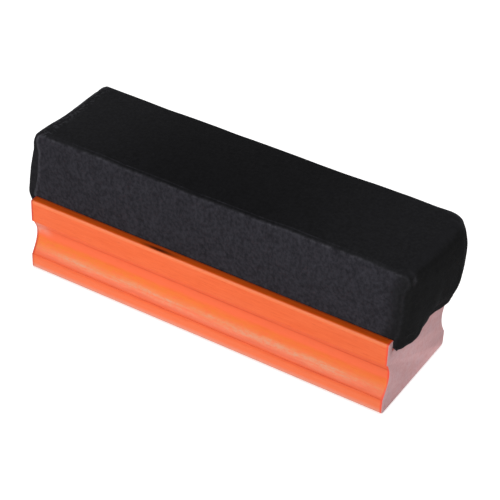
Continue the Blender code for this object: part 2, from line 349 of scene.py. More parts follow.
def fine_outline(outline, step):
    """The outline with more points: straight between sharp corners, and a smooth curve elsewhere."""
    count = len(outline)
    before, after = np.roll(outline, 1, axis=0), np.roll(outline, -1, axis=0)
    in_way, out_way = outline - before, after - outline
    turn = np.abs(np.arctan2(
        in_way[:, 0] * out_way[:, 1] - in_way[:, 1] * out_way[:, 0], (in_way * out_way).sum(axis=1)))
    sharp = turn > SHARP
    points = []
    for i in range(count):
        a, b = outline[i], outline[(i + 1) % count]
        length = np.linalg.norm(b - a)
        pieces = max(1, int(round(length / step)))
        tangent_a = (b - a) if sharp[i] else (b - before[i]) * length / max(
            1e-9, length + np.linalg.norm(a - before[i]))
        following = outline[(i + 2) % count]
        tangent_b = (b - a) if sharp[(i + 1) % count] else (following - a) * length / max(
            1e-9, length + np.linalg.norm(following - b))
        points += [hermite(a, b, tangent_a, tangent_b, k / pieces) for k in range(pieces)]
    return np.array(points)


def outline_normals(outline):
    along = np.roll(outline, -1, axis=0) - np.roll(outline, 1, axis=0)
    along /= np.linalg.norm(along, axis=1)[:, None]
    normals = np.stack((along[:, 1], -along[:, 0]), axis=1)
    middle = outline.mean(axis=0)
    if ((outline - middle) * normals).sum() < 0:
        normals = -normals
    return normals


def stained_wood_material():
    """Orange stain over pale wood. The sawn ends, which face along X, are bare."""
    n = Nodes("stained_wood")
    place = n.place()
    sawn = n.ramp(n.math("ABSOLUTE", n.axes(n.facing())[0]), 0.5, 0.8)
    sandy = n.noise(n.scaled(place, (420, 800, 800)), 1.0, detail=4.0, roughness=0.75)
    fibre = n.noise(n.scaled(place, (126, 1530, 1530)), 1.0, detail=6.0, roughness=0.65, distortion=0.3)
    cloudy = n.noise(n.scaled(place, (55, 150, 150)), 1.0, detail=4.0, roughness=0.65)
    bare, sawn_relief = end_grain(n, place)
    n.set(Base_Color=n.mix(sawn, stained_face(n, place, fibre, sandy, cloudy), bare))
    gloss = n.ramp(sandy, 0.3, 0.7, 0.36, 0.50)
    n.set(Roughness=n.mix(sawn, n.grey(gloss), (0.92, 0.92, 0.92)))
    n.set(Specular_IOR_Level=n.ramp(sawn, 0.0, 1.0, 0.36, 0.15))
    relief = n.plus(n.times(fibre, 0.6), n.times(sandy, 0.4))
    n.set(Normal=n.bump(n.mix(sawn, n.grey(relief), n.grey(sawn_relief)), 0.08 * MM, 0.7))
    return n.material


def stained_face(n, place, fibre, sandy, cloudy):
    """The stain's colour: long fibres, short pores, cloudy patches, what wear and sanding left of it, and
    painted light and shade on the cove, along the lip and by the cloth.
    """
    x, y, z = n.axes(place)
    up = n.axes(n.facing())[2]
    side, along = n.math("ABSOLUTE", y), n.math("ABSOLUTE", x)
    pores = n.noise(n.scaled(place, (270, 2700, 2700)), 1.0, detail=2.0, roughness=0.5)
    brushed = n.noise(n.scaled(place, (55, 900, 900)), 1.0, detail=5.0, roughness=0.6, distortion=0.5)
    level = n.plus(z, n.spread(cloudy, 2.4 * MM))

    stain = n.mix(n.ramp(fibre, 0.3, 0.7), (0.955, 0.172, 0.053), (0.900, 0.140, 0.040))
    stain = n.mix(n.ramp(cloudy, 0.4, 0.75, 0.0, 0.5), stain, (0.95, 0.182, 0.064))
    stain = n.mix(n.ramp(pores, 0.60, 0.75, 0.0, 0.45), stain, (0.72, 0.080, 0.022))

    # Redder and a little lighter under the lip, partly the stain's tone and partly painted light against the
    # shade there; thinner and yellower lower in the cove; and pale in a streak on the slope, partly sanded
    # and partly a painted highlight
    under = n.band(level, FOOT_TOP + 7.0 * MM, LIP_TOP - 9.2 * MM, 1.5 * MM)
    stain = n.mix(n.times(under, 0.75), stain, (0.96, 0.170, 0.068))
    cove = n.band(level, FOOT_TOP + 2.4 * MM, FOOT_TOP + 6.6 * MM, 2.0 * MM)
    cove = n.times(cove, n.ramp(sandy, 0.32, 0.6, 0.35, 1.0), n.ramp(x, -60 * MM, 60 * MM, 1.0, 0.7))
    stain = n.mix(cove, stain, (0.89, 0.205, 0.030))
    toe = n.band(level, FOOT_TOP + 0.1 * MM, FOOT_TOP + 1.1 * MM, 0.8 * MM)
    stain = n.mix(n.times(toe, 0.75), stain, (0.84, 0.124, 0.038))
    slope = n.times(n.bell(level, STREAK, 1.2 * MM), n.ramp(brushed, 0.35, 0.62, 0.3, 1.0))
    slope = n.times(slope, n.ramp(along, 52 * MM, 71 * MM, 1.0, 0.3), n.ramp(sandy, 0.36, 0.62, 0.35, 1.0))
    stain = n.mix(slope, stain, (0.75, 0.335, 0.185))

    # Painted shade in the corners above the foot and under the lip
    for corner, reach, depth in ((FOOT_TOP - 0.1 * MM, 0.30 * MM, 0.5), (LIP_BOTTOM, 0.42 * MM, 0.85)):
        crease_shade = n.times(n.bell(z, corner, reach), n.ramp(brushed, 0.3, 0.6, 0.4 * depth, depth))
        crease_shade = n.times(crease_shade, n.ramp(x, -66 * MM, -20 * MM, 0.5, 1.0))
        stain = n.mix(crease_shade, stain, (0.74, 0.085, 0.028))

    # A pale rubbed place under the lip at the left end
    rubbed = n.band(level, LIP_BOTTOM - 3 * MM, LIP_BOTTOM + 2.5 * MM, 2 * MM)
    rubbed = n.times(rubbed, n.ramp(x, -64 * MM, -71 * MM), n.ramp(sandy, 0.3, 0.6, 0.2, 0.6))
    stain = n.mix(rubbed, stain, (0.86, 0.42, 0.33))

    # Pale along the lip's outer edge, partly wear and partly a painted highlight; deeper on top, with a dark
    # mark and a painted shadow by the cloth
    edge = n.band(z, LIP_TOP - 1.3 * MM, LIP_TOP - 0.15 * MM, 0.35 * MM)
    edge = n.times(edge, n.ramp(fibre, 0.25, 0.6, 0.3, 0.6))
    stain = n.mix(edge, stain, (0.95, 0.275, 0.110))
    ledge = n.times(n.ramp(up, 0.8, 0.98), n.ramp(z, LIP_TOP - 0.3 * MM, LIP_TOP - 0.05 * MM))
    stain = n.mix(ledge, stain, n.mix(n.ramp(fibre, 0.3, 0.7), (1.0, 0.142, 0.004), (0.92, 0.100, 0.003)))
    ragged = n.plus(y, n.spread(fibre, 1.0 * MM))
    dark_mark = n.times(n.bell(x, DARK_MARK_X, 5.8 * MM), n.bell(ragged, DARK_MARK_Y, 0.85 * MM), ledge)
    stain = n.mix(dark_mark, stain, (0.07, 0.010, 0.003))
    shadow_by_cloth = n.times(n.ramp(side, CHANNEL_SIDE + 0.9 * MM, CHANNEL_SIDE + 0.2 * MM, 0.0, 0.5), ledge)
    stain = n.mix(shadow_by_cloth, stain, (0.20, 0.035, 0.012))

    # The foot is a little paler, and its bottom edge turns a greyish pink, partly where the stain thins out
    # and partly painted shade with a painted reflection of the floor
    paler = n.ramp(z, FOOT_TOP - 0.5 * MM, FOOT_TOP - 2.0 * MM, 0.0, 0.55)
    stain = n.mix(paler, stain, (0.96, 0.235, 0.102))
    foot = n.ramp(n.plus(z, n.spread(sandy, 0.8 * MM)), 0.1 * MM, 2.8 * MM, 0.92, 0.0, smooth=False)
    stain = n.mix(foot, stain, (0.80, 0.400, 0.320))
    # Painted shade that darkens the stain towards the right end
    stain = n.shade(stain, n.ramp(x, -20 * MM, 65 * MM, 0.98, 0.89, smooth=False))

    # Nobody stains the channel that the pad is glued into
    inside = n.ramp(side, CHANNEL_SIDE - 0.2 * MM, CHANNEL_SIDE - 0.1 * MM, 1.0, 0.0)
    inside = n.times(inside, n.ramp(z, LIP_TOP - 8 * MM, LIP_TOP - 7 * MM))
    stain = n.mix(inside, stain, n.mix(n.ramp(fibre, 0.3, 0.7), (0.66, 0.40, 0.36), (0.56, 0.32, 0.28)))

    # The saw left a redder bruise round each end
    bruise = n.ramp(n.plus(along, n.times(cloudy, 1.2 * MM)), SAWN_END - 0.5 * MM, SAWN_END + 0.3 * MM)
    return n.mix(n.times(bruise, 0.75), stain, (0.78, 0.055, 0.035))


def end_grain(n, place):
    """Bare end grain: growth rings nearly level with the back, saw scratches, stain soaked into the rim, and
    painted light and shade.
    Returns its colour and relief."""
    _, y, z = n.axes(place)
    tilted = n.scaled(place, (1, 1, 1), (math.radians(12), 0, 0))
    rings = n.noise(n.scaled(tilted, (1, 110, 700)), 1.0, detail=4.0, roughness=0.65, distortion=0.8)
    cuts = n.noise(n.scaled(place, (1, 260, 2600), (math.radians(-18), 0, 0)), 1.0, detail=4.0, roughness=0.7)
    grit = n.noise(place, 900.0, detail=5.0, roughness=0.75)
    blotch = n.noise(place, 260.0, detail=3.0, roughness=0.6)
    bare = n.mix(n.ramp(rings, 0.35, 0.65), (0.675, 0.412, 0.420), (0.635, 0.372, 0.378))
    bare = n.mix(n.ramp(blotch, 0.42, 0.7, 0.0, 0.6), bare, (0.640, 0.440, 0.470))
    bare = n.mix(n.ramp(grit, 0.46, 0.64, 0.0, 0.55), bare, (0.590, 0.295, 0.295))
    bare = n.mix(n.ramp(cuts, 0.55, 0.75, 0.0, 0.2), bare, (0.72, 0.48, 0.49))
    near_edge = n.hemmed_in(0.9 * MM, inside=True, samples=6)
    soaked = n.ramp(n.plus(near_edge, n.times(grit, 0.4)), 0.75, 1.15, 0.3, 0.0)
    bare = n.mix(soaked, bare, (0.74, 0.42, 0.40))
    # Painted light and shade that even out the light on the end: darker towards the front, lighter towards
    # the back and near the bottom
    bare = n.shade(bare, n.ramp(y, -20 * MM, 18 * MM, 0.78, 1.21, smooth=False))
    bare = n.shade(bare, n.ramp(z, 0.0, 6 * MM, 1.12, 1.0))
    return bare, n.plus(n.times(cuts, 0.6), n.times(grit, 0.5))


def add_handle():
    """The moulding, with a fine arris round each sawn end."""
    outline = fine_outline(sawn_outline(), OUTLINE_STEP)
    normals = outline_normals(outline)
    half = SAWN_END
    count = int(round(2 * half / HANDLE_STATION))
    plain = np.linspace(-half + HANDLE_END_ARRIS, half - HANDLE_END_ARRIS, count + 1)
    stations = [(-half, -HANDLE_END_ARRIS), *((x, 0.0) for x in plain), (half, -HANDLE_END_ARRIS)]
    rows = []
    for x, inset in stations:
        ring = outline + normals * inset
        wander = UNEVEN * np.array([noise.noise(Vector((x * 22, y * 60, z * 60))) for y, z in outline])
        ring = ring + normals * wander[:, None]
        rows.append(np.column_stack((np.full(len(ring), x), ring)))
    mesh = grid_mesh("handle_moulding", np.array(rows))
    face_outward(mesh)
    mesh.shade_smooth()
    mesh.set_sharp_from_angle(angle=SHARP)
    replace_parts(new_piece("handle_moulding", mesh, stained_wood_material()), "wood_handle")


# ---- cloth cover

HEM = BOARD_LOW.z - GAP - CLOTH  # the hem's underside
HEM_WIDTH = 10.0 * MM
HEM_TURN = 1.2 * MM  # the rounding where the long sides turn in under the board
CHANNEL_CLEAR = HEM - 0.5 * MM  # the lowest that the cloth may reach inside the channel
FIRM = 0.5 * MM  # from a turn in the cloth's inner face to the rows that keep it crisp
FOOT = BOARD_HIGH.y + GAP + CLOTH  # half of the pad's width between the lips

FRONT_HALF_WIDTH = 20.0 * MM
BACK_HALF_WIDTH = 20.8 * MM
SIDE_EDGE = 1.5 * MM  # rounding along the top's long edges
# Rounding of the ends' top edges, along X and down, at the front and the back
RIGHT_EDGES = ((3.2 * MM, 3.4 * MM), (4.8 * MM, 5.2 * MM))
LEFT_EDGES = ((1.3 * MM, 1.4 * MM), (1.8 * MM, 2.0 * MM))
# Plan radii in millimetres at the top and lower down: front left, front right, back left, back right
CORNERS = ((1.4, 3.4), (2.0, 5.0), (1.8, 5.0), (6.2, 6.2))
INNER_CORNER = 4.3 * MM
INNER_EDGE = 2.0 * MM  # rounding of the inner face's top edges
LEAN_RIGHT, LEAN_LEFT = 1.4 * MM, 4.6 * MM  # how far the inner face's ends lean in towards the top
BOARD_ENDS = 1.2 * MM  # how much shorter the cloth's inside is round the board than round the foam

# Rows of the skin from the top's edge down and round, and columns round the pad
EDGE_ROWS, WALL_ROWS, FOLD_ROWS = 8, 34, 14
LONG_COLUMNS, ACROSS_COLUMNS, CORNER_COLUMNS = 128, 44, 20
LONG_CROWDING, END_CROWDING = 0.7, 0.3  # how much closer the columns stand near the corners

# Each end's outer face in millimetres, as (height above the lips, distance from the middle)
RIGHT_FRONT = (
    (28.8, 76.0), (24.8, 76.6), (19.8, 77.2), (13.8, 77.3), (7.8, 77.0), (2.8, 76.2), (-1.7, 75.2))
RIGHT_BACK = (
    (28.8, 78.1), (24.8, 78.5), (19.8, 79.5), (13.8, 79.7), (7.8, 79.7), (4.8, 79.5), (1.8, 78.7),
    (-1.7, 77.4))
LEFT_FRONT = (
    (28.8, 70.6), (24.8, 72.0), (19.8, 73.4), (15.8, 74.3), (11.8, 75.3), (7.8, 76.1), (2.8, 77.2),
    (-1.7, 77.5))
LEFT_BACK = (
    (28.8, 70.0), (24.8, 71.0), (19.8, 72.5), (15.8, 73.5), (11.8, 74.8), (7.8, 76.0), (2.8, 77.0),
    (-1.7, 76.7))
RIGHT_END, LEFT_END = (RIGHT_FRONT, RIGHT_BACK), (LEFT_FRONT, LEFT_BACK)

# The fold that hangs over each end: its lowest place in millimetres, as (y, height above the lips)
RIGHT_FOLD = (
    (-19, -5.1), (-16.5, -5.5), (-13, -6.2), (-9.5, -6.9), (-6.5, -7), (-4, -6.2), (-1, -5.2), (2, -3.8),
    (4.5, -3.7), (7, -4.1), (10, -5), (13, -5.8), (16, -6.9), (18, -7), (20, -6))
LEFT_FOLD = (
    (-19, -4.8), (-15, -5.9), (-10, -6.8), (-5, -6.3), (-1, -5), (2.5, -4.2), (6, -5.1), (10, -6.4),
    (14, -7), (17, -6.3), (20, -4.8))
FOLD_START = LIP_TOP - 1.7 * MM
FOLD_LOWEST = LIP_TOP - 7.0 * MM
FOLD_PIVOT = LIP_TOP + 4.8 * MM  # above this height the fold's shape fades out
FOLD_INSIDE = SAWN_END + 1.5 * GAP
FOLD_TURNS = (0.1, 0.5)  # the part of a corner over which the hem drops out of the channel
HIGHEST_VALLEY = 3.3 * MM  # how far the fold's valleys rise above its lowest place

# The tucks at each corner, in millimetres: the crest's line as (height above the lips, distance past the long
# side), how far it stands out, how deep the dip beside it is, its width, and how pale its crest is painted,
# partly as wear and partly as a highlight
FRONT_LEFT_TUCKS = (
    (((28.8, -0.1), (21.8, -0.6), (13.8, -1.7), (7.8, -1.9), (1.8, -1.3), (-1.2, -0.6)), 0.4, 0.4, 0.55, 2.3),
    (((28.8, 2.2), (17.8, 2.7), (7.8, 3.0), (-1.2, 3.2)), 0.35, 0.20, 0.5, 1.2))
FRONT_RIGHT_TUCKS = (
    (((28.8, 0.4), (17.8, 0.2), (-1.2, 0.2)), 0.12, 0.10, 0.5, 0.3),
    (((28.8, 1.5), (21.8, 2.1), (11.8, 2.5), (-1.2, 2.4)), 0.30, 0.35, 0.70, 0.3))
BACK_RIGHT_TUCKS = (
    (((28.8, 3.0), (17.8, 2.2), (-1.2, 1.2)), 0.35, 0.40, 0.6, 1.2),
    (((28.8, 7.4), (15.8, 6.8), (-1.2, 6.6)), 0.25, 0.35, 0.8, 0.8))
BACK_LEFT_TUCKS = (
    (((28.8, 0.6), (15.8, 1.0), (-1.2, 1.6)), 0.35, 0.40, 0.55, 1.2),
    (((28.8, 3.8), (15.8, 5.2), (-1.2, 5.8)), 0.30, 0.35, 0.7, 0.8))

# The cloth simulation
ENLARGED = 10.0
VOXEL = 2.2 * MM
SETTLE_FRAMES = 20
SLACK = 0.03  # how much bigger the cloth wants to be than the pad, as a share
MOST_SETTLED = 0.8 * MM
LEAST_COVER = 0.7 * MM  # from the foam to the cloth's outer face
CALMING = 8  # rounds of evening out the way the cloth settled


def through(points, where):
    """Smooth values at `where` through (place, value) points in millimetres. Takes and returns metres."""
    points = sorted(points)
    places = np.array([p[0] for p in points]) * MM
    values = np.array([p[1] for p in points]) * MM
    slopes = np.gradient(values, places)
    at = np.clip(where, places[0], places[-1])
    i = np.clip(np.searchsorted(places, at) - 1, 0, len(places) - 2)
    width = places[i + 1] - places[i]
    t = (at - places[i]) / width
    return hermite(values[i], values[i + 1], width * slopes[i], width * slopes[i + 1], t)


def spaced(points, count):
    """`count` points evenly along a smooth curve through control points, leaving out the last."""
    points = np.array(points, float)
    guides = np.vstack((2 * points[0] - points[1], points, 2 * points[-1] - points[-2]))
    dense = []
    for a, b, c, d in zip(guides, guides[1:], guides[2:], guides[3:]):
        t = np.linspace(0, 1, 20, endpoint=False)[:, None]
        dense.append(0.5 * (2 * b + (c - a) * t + (2 * a - 5 * b + 4 * c - d) * t ** 2
                            + (3 * b - a - 3 * c + d) * t ** 3))
    dense = np.vstack(dense + [points[-1:]])
    along = np.concatenate(([0], np.cumsum(np.linalg.norm(np.diff(dense, axis=0), axis=1))))
    wanted = np.linspace(0, along[-1], count, endpoint=False)
    return np.column_stack([np.interp(wanted, along, axis) for axis in dense.T])


def top_height(x, y):
    """How far the top stands above or below its mean height: waves along the long edges, a back edge that
    rises to the right, and a dip at the left end. The amounts are in millimetres."""
    across = y / FRONT_HALF_WIDTH
    front = smooth_step((-across - 0.1) / 0.9)
    back = smooth_step((across - 0.1) / 0.9)
    wave = 0.32 * np.cos((x / MM + 56) / 17.5)
    wave = wave + 0.1 * np.sin(x / MM / 4.1) + 0.06 * np.sin(x / MM / 2.3 + 1)
    height = 0.15 * np.cos(x / MM / 23 + y / MM / 9)
    rising = 0.65 * smooth_step((x / SAWN_END + 1.0) / 1.2) + 0.5 * bell((x - 50 * MM) / (15 * MM))
    height = height + front * (0.1 + wave) + back * rising
    corner = bell((x + SAWN_END - 2 * MM) / (6.5 * MM)) * bell((y + FRONT_HALF_WIDTH) / (3.2 * MM))
    sag = 0.7 * bell((x + SAWN_END) / (9 * MM)) * bell((y + 2 * MM) / (15 * MM))
    return (height - 0.3 * corner - sag) * MM


class Ring:
    """The columns round the pad. Each has its corner's signs, its turn from long side (0) to end (1), and
    its shares of the way to the right and to the back. They start in the front left corner and run right."""

    def __init__(self):
        half = CORNER_COLUMNS // 2
        corners = ((-1, -1), (1, -1), (1, 1), (-1, 1))
        columns = []
        for side in range(4):
            first, last = corners[side], corners[(side + 1) % 4]
            on_end = side % 2
            count = ACROSS_COLUMNS if on_end else LONG_COLUMNS
            way = 1 if on_end else -1
            columns += [(*first, 0.5 + way * k / CORNER_COLUMNS, 0.0) for k in range(half)]
            crowding = END_CROWDING if on_end else LONG_CROWDING
            for i in range(count + 1):
                share = i / count - crowding * math.sin(2 * math.pi * i / count) / (2 * math.pi)
                columns.append((*(first if 2 * i < count else last), float(on_end), share))
            columns += [(*last, on_end - way * k / CORNER_COLUMNS, 1.0) for k in range(1, half)]
        columns = np.array(columns)
        self.sign_x, self.sign_y, self.turn, share = columns.T
        going_back = np.arange(len(columns)) >= len(columns) // 2
        share = np.where(going_back, 1 - share, share)
        self.to_right = np.where(self.turn == 0, share, self.sign_x > 0)
        self.to_back = np.where(self.turn == 1, share, self.sign_y > 0)
        self.sin = np.sin(self.turn * math.pi / 2)
        self.cos = np.cos(self.turn * math.pi / 2)

    def end_heights(self, right, left):
        """A height for each column, from heights at the front and back corners of the two ends."""
        return np.where(self.sign_x > 0, lerp(*right, self.to_back), lerp(*left, self.to_back))

    def points(self, half_widths, right, left, radii, side_z, end_z, start=0.0, full=1.0):
        """One ring. half_widths are front and back; right and left are distances at the front and back
        corners; radii are in the order of CORNERS. The height goes from side_z to end_z between the turns
        `start` and `full`, and end_z is one value or one for each column."""
        end_right, end_left = lerp(*right, self.to_back), lerp(*left, self.to_back)
        radius_left = lerp(radii[0], radii[2], self.to_back)
        radius_right = lerp(radii[1], radii[3], self.to_back)
        radius = lerp(radius_left, radius_right, self.to_right)
        x = lerp(radius_left - end_left, end_right - radius_right, self.to_right)
        x = x + self.sign_x * radius * self.sin
        front_radius = lerp(radii[0], radii[1], self.to_right)
        back_radius = lerp(radii[2], radii[3], self.to_right)
        y = lerp(front_radius - half_widths[0], half_widths[1] - back_radius, self.to_back)
        y = y + self.sign_y * radius * self.cos
        share = smooth_step((self.turn - start) / (full - start))
        return np.column_stack((x, y, lerp(side_z, end_z, share)))


def fold_height(ring_points, ring):
    """How much higher than its lowest place each column's hanging fold ends."""
    y = ring_points[:, 1]
    right, left = through(RIGHT_FOLD, y), through(LEFT_FOLD, y)
    return np.where(ring.sign_x > 0, right, left) + LIP_TOP - FOLD_LOWEST


def corner_radii(down):
    """Plan radii of the four corners, sharper near the top. down runs from 0 at the top to 1 at the lips."""
    firm = smooth_step(down / 0.25)
    return [lerp(top, wall, firm) * MM for top, wall in CORNERS]


def end_places(profiles, heights, insets=(0.0, 0.0)):
    """How far an end reaches from the middle at its front and its back corner."""
    return [through(profile, z - LIP_TOP) - inset for profile, z, inset in zip(profiles, heights, insets)]


def outer_rows(ring):
    """The cloth's outer face, from the top's edge down into the channel, as rows of ring points."""
    rows = []
    for k in range(EDGE_ROWS):
        turn = k / EDGE_ROWS * math.pi / 2
        inset, drop = 1 - math.sin(turn), 1 - math.cos(turn)
        widths = (FRONT_HALF_WIDTH - SIDE_EDGE * inset, BACK_HALF_WIDTH - SIDE_EDGE * inset)
        z_right, z_left = [[TOP - down * drop for _, down in edges] for edges in (RIGHT_EDGES, LEFT_EDGES)]
        right = end_places(RIGHT_END, z_right, [out * inset for out, _ in RIGHT_EDGES])
        left = end_places(LEFT_END, z_left, [out * inset for out, _ in LEFT_EDGES])
        end_z = ring.end_heights(z_right, z_left)
        rows.append(ring.points(widths, right, left, corner_radii(0), TOP - SIDE_EDGE * drop, end_z))

    for k in range(WALL_ROWS):
        down = k / WALL_ROWS
        side_z = lerp(TOP - SIDE_EDGE, LIP_TOP, down)
        z_right, z_left = [
            [lerp(TOP - drop, FOLD_START, down) for _, drop in edges] for edges in (RIGHT_EDGES, LEFT_EDGES)]
        spread = math.sin(smooth_step((side_z - LIP_TOP) / (TOP - LIP_TOP) * 1.15) * math.pi / 2)
        widths = [lerp(FOOT, top, spread) for top in (FRONT_HALF_WIDTH, BACK_HALF_WIDTH)]
        right, left = end_places(RIGHT_END, z_right), end_places(LEFT_END, z_left)
        end_z = ring.end_heights(z_right, z_left)
        low = smooth_step((down - 0.5) / 0.5)
        turns = FOLD_TURNS[0] * low, lerp(1, FOLD_TURNS[1], low)
        rows.append(ring.points(widths, right, left, corner_radii(down), side_z, end_z, *turns))

    reach = [through(p, FOLD_START - LIP_TOP) for p in (*RIGHT_END, *LEFT_END)]
    end_path = spaced(
        [(1, FOLD_START), (0.86, FOLD_LOWEST + 2.8 * MM), (0.56, FOLD_LOWEST + 0.8 * MM), (0.28, FOLD_LOWEST),
         (0.09, FOLD_LOWEST + 0.6 * MM), (0, FOLD_LOWEST + 2.2 * MM), (0, HEM)], FOLD_ROWS)
    side_path = spaced(
        [(FOOT, LIP_TOP), (FOOT, HEM + HEM_TURN), (FOOT - HEM_TURN / 4, HEM + HEM_TURN / 4),
         (FOOT - HEM_TURN, HEM)], FOLD_ROWS)
    for (share, end_z), (width, side_z) in zip(end_path, side_path):
        out = [lerp(FOLD_INSIDE, r, share) for r in reach]
        rows.append(ring.points([width] * 2, out[:2], out[2:], corner_radii(1), side_z, end_z, *FOLD_TURNS))
    return np.array(rows)


def inner_rows(ring):
    """The hem under the board and the cloth's inner face round the foam."""
    foam_right, foam_left = FOAM_HIGH.x + GAP, -FOAM_LOW.x + GAP
    wall_top = FOAM_HIGH.z + GAP - INNER_EDGE
    beside_board, beside_foam = FOOT - CLOTH, FOAM_HIGH.y + GAP
    hem_inside = SAWN_END - HEM_WIDTH
    turn_inside = FOOT - HEM_TURN
    # Half width, distance of the right and the left end, and height
    path = [
        (turn_inside, FOLD_INSIDE, FOLD_INSIDE, HEM),
        (turn_inside - FIRM, FOLD_INSIDE - 2 * FIRM, FOLD_INSIDE - 2 * FIRM, HEM),
        (FOOT - HEM_WIDTH, hem_inside, hem_inside, HEM),
        (FOOT - HEM_WIDTH, hem_inside, hem_inside, HEM + CLOTH),
        (beside_board - FIRM, foam_right - BOARD_ENDS - FIRM, foam_left - BOARD_ENDS - FIRM, HEM + CLOTH),
        (beside_board, foam_right - BOARD_ENDS, foam_left - BOARD_ENDS, HEM + CLOTH),
        (beside_board, foam_right - BOARD_ENDS, foam_left - BOARD_ENDS, HEM + CLOTH + FIRM),
        (beside_board, foam_right, foam_left, FOAM_LOW.z - FIRM),
        (beside_board, foam_right, foam_left, FOAM_LOW.z + FIRM),
    ]
    for turn in np.linspace(0, math.pi / 2, 5):
        inset = INNER_EDGE * (1 - math.cos(turn))
        right, left = foam_right - LEAN_RIGHT - inset, foam_left - LEAN_LEFT - inset
        path.append((beside_foam - inset * 0.5, right, left, wall_top + INNER_EDGE * math.sin(turn)))
    radii = [INNER_CORNER] * 4
    return [ring.points([width] * 2, [right] * 2, [left] * 2, radii, z, z) for width, right, left, z in path]


def shape_rows(rows, ring):
    """Gives the outer rows their hanging folds and the uneven top."""
    first_inside = EDGE_ROWS + WALL_ROWS + 7
    for index, row in enumerate(rows):
        z = row[:, 2].copy()
        rise = fold_height(row, ring) * smooth_step((ring.turn - 0.1) / 0.35)
        if index < first_inside:
            fade = smooth_step((FOLD_PIVOT - z) / (FOLD_PIVOT - FOLD_LOWEST))
        else:
            fade = np.clip((HEM - z) / (HEM - FOLD_LOWEST), 0, 1)
        row[:, 2] += rise * fade
        valley = rise / HIGHEST_VALLEY
        pull = 1.3 * MM * (valley - 0.3) * bell((z - LIP_TOP + 2.7 * MM) / (7 * MM)) * ring.turn
        if index < first_inside:
            row[:, 0] -= ring.sign_x * pull
        height = np.clip((z - LIP_TOP) / (TOP - LIP_TOP), 0, 1)
        row[:, 2] += top_height(row[:, 0], row[:, 1]) * height
        # What hangs below the channel's floor stays outside the sawn ends
        outside = np.sign(row[:, 0]) * np.maximum(np.abs(row[:, 0]), SAWN_END + 2 * GAP)
        row[:, 0] = np.where(row[:, 2] < CHANNEL_CLEAR, outside, row[:, 0])
    return rows


def grain(x, y, z, size, seed=0.0):
    """Smooth random values between about -1 and 1, with lumps of the given sizes along X, Y and Z in
    millimetres."""
    sx, sy, sz = [length * MM for length in size]
    return np.array([noise.noise(Vector((a / sx + seed, b / sy, c / sz))) for a, b, c in zip(x, y, z)])


def pleat(off, ridge, groove, width):
    """A tuck's crest that stands out, with a dip beside it, at the distance `off` from the crest."""
    return ridge * bell(off / width) - groove * bell((off - 2.3 * width) / (1.5 * width))


def around(row):
    """A ring's outward directions, and a function for the distance of its points past one of its columns."""
    ahead, behind = np.roll(row, -1, axis=0), np.roll(row, 1, axis=0)
    tangent = ahead[:, :2] - behind[:, :2]
    tangent /= np.linalg.norm(tangent, axis=1)[:, None]
    out = np.column_stack((tangent[:, 1], -tangent[:, 0]))
    steps = np.linalg.norm(ahead[:, :2] - row[:, :2], axis=1)
    along = np.concatenate(([0], np.cumsum(steps)))
    total = along[-1]

    def past(column, way):
        return (way * (along[:-1] - along[column]) + total / 2) % total - total / 2

    return out, past


